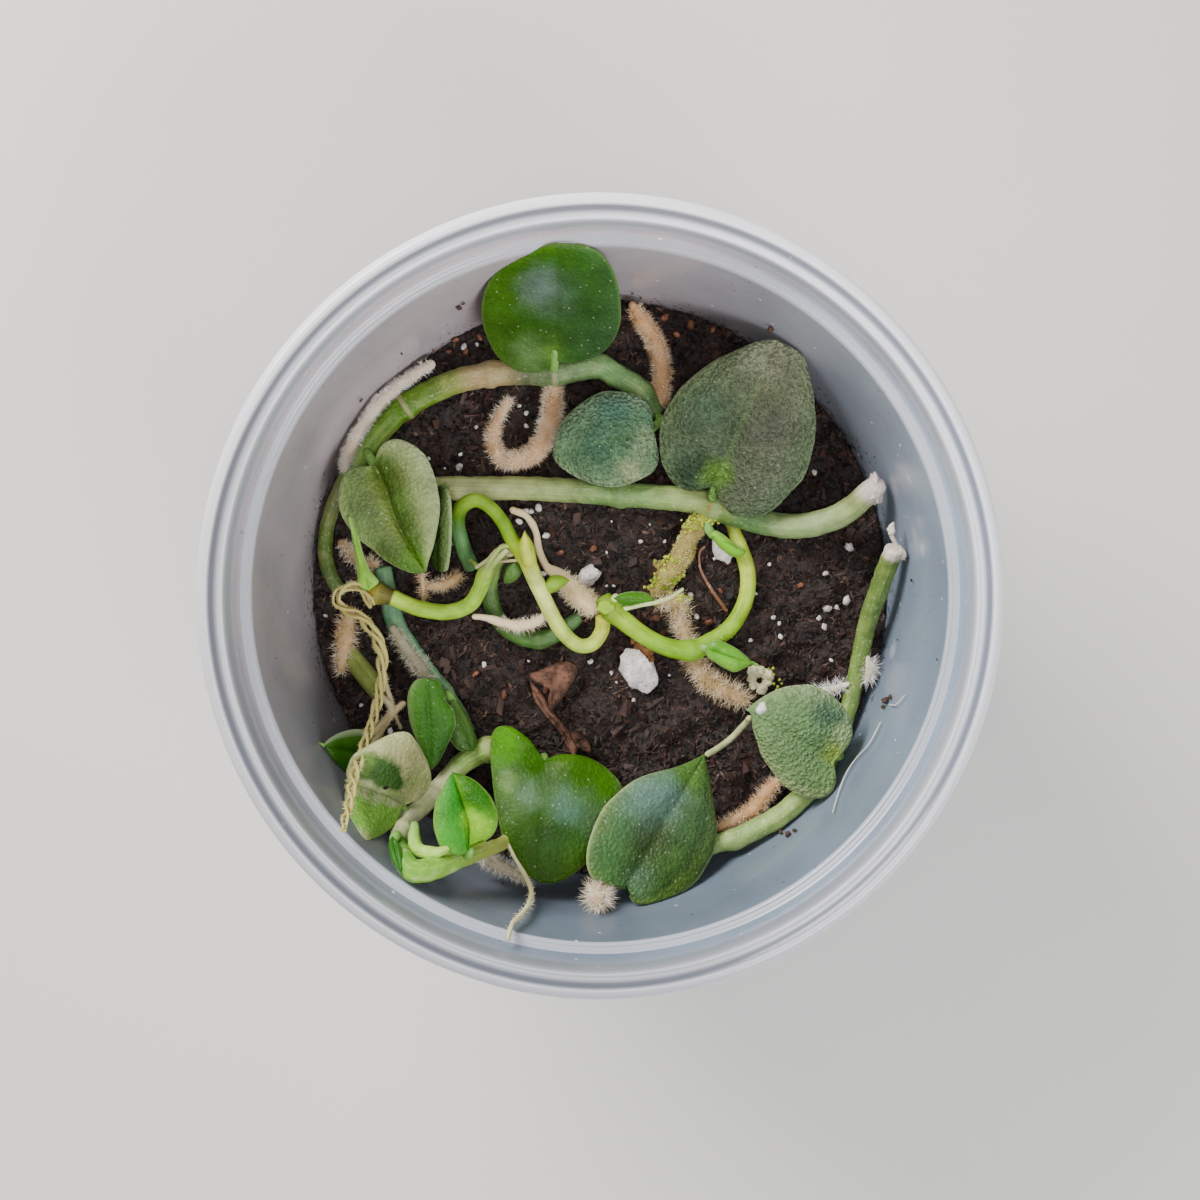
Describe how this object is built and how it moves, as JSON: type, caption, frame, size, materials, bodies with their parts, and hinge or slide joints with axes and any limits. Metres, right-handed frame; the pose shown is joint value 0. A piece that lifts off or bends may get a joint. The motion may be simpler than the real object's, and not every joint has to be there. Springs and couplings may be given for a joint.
{
  "type": "potted rhaphidophora hayi",
  "caption": "Creeping aroid house plant with thick pebbled leaves, jointed stems and furry aerial roots, lying on dark bark soil in a round milky tub with a stepped rim.",
  "frame": {"origin": "middle of the tub's foot, on the surface that it stands on", "axes": "+Z up out of the tub, +X to the right and +Y up in the picture, which looks straight down"},
  "size_m": [0.117, 0.117, 0.075],
  "materials": {
    "milky_plastic": "satin",
    "bark_soil": "matte",
    "leaf": "satin",
    "stem": "satin",
    "shoot": "satin",
    "furry_root": "matte",
    "dry_bark": "matte",
    "perlite": "matte"
  },
  "bodies": {
    "root": {"tub": "milky_plastic", "soil": "bark_soil", "vine_north": "stem", "vine_middle": "stem", "vine_east": "stem", "vine_south": "stem", "vine_west": "stem", "vine_loop": "stem", "shoot_west": "shoot", "shoot_arch": "shoot", "shoot_east": "shoot", "leaf_north": "leaf", "leaf_west": "leaf", "leaf_edge": "leaf", "leaf_blue": "leaf", "leaf_grey": "leaf", "leaf_east": "leaf", "leaf_south_east": "leaf", "leaf_south": "leaf", "leaf_folded": "leaf", "leaf_lower": "leaf", "leaf_shaded": "leaf", "leaf_far_west": "leaf", "leaf_mottled": "leaf", "leaf_dark_tip": "leaf", "leaf_bud": "shoot", "bract_west": "shoot", "bract_east": "shoot", "leaf_small_dark": "leaf", "leaf_old": "leaf", "bark_flake": "dry_bark", "root_loop": "furry_root", "root_north": "furry_root", "root_north_west": "furry_root", "root_west_tuft": "furry_root", "root_under_leaf": "furry_root", "root_twisted": "furry_root", "root_branch": "furry_root", "root_grey_brush": "furry_root", "root_mossy": "furry_root", "root_long": "furry_root", "root_fat": "furry_root", "root_pale": "furry_root", "root_east_brush": "furry_root", "root_south_ball": "furry_root", "root_on_wall": "furry_root", "root_east_fringe": "furry_root", "root_middle_fuzz": "furry_root", "root_grey_mat": "furry_root", "tendril_dry": "shoot", "twig": "dry_bark", "bract_hook": "shoot", "perlite_largest": "perlite", "perlite_middle": "perlite", "perlite_oval": "perlite", "perlite_mossy": "perlite"}
  },
  "joints": []
}
